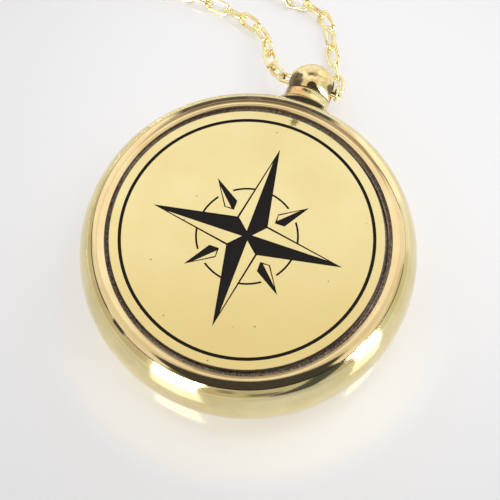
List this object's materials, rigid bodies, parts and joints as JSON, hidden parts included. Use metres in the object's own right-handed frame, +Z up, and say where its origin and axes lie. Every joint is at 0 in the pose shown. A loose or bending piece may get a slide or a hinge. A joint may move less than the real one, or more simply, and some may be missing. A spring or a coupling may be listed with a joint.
{
  "type": "compass pendant necklace",
  "caption": "Round brass compass pendant lying front down, engraved plate with a ring and star on top, ball crown with a cable chain through it.",
  "frame": {"origin": "centre of the case on the plane that the front bezel's land rests on", "axes": "+Z points up out of the engraved plate, +Y from the case to the crown, +X to the right seen from above with the crown at the top"},
  "size_m": [0.2507, 0.1469, 0.012],
  "materials": {
    "polished_brass": "polished, lightly worn",
    "brushed_brass": "fine satin, black-filled engraving",
    "crystal_glass": "clear polished glass",
    "card_print": "matte enamel with printed directions",
    "blued_steel": "blued steel, south arm bare",
    "gold_plate": "bright gold-coloured wire"
  },
  "bodies": {
    "pendant": {"case": "polished_brass", "back_bezel": "polished_brass", "back_plate": "brushed_brass", "front_bezel": "polished_brass", "crystal": "crystal_glass", "compass_card": "card_print", "pivot": "polished_brass", "crown": "polished_brass", "chain": "gold_plate", "clasp": "gold_plate"},
    "needle": {"needle": "blued_steel"}
  },
  "joints": [
    {"name": "needle_turn", "type": "hinge", "parent": "pendant", "child": "needle", "pos_m": [0, 0, 0.0045], "axis": [0, 0, 1], "continuous": true}
  ]
}
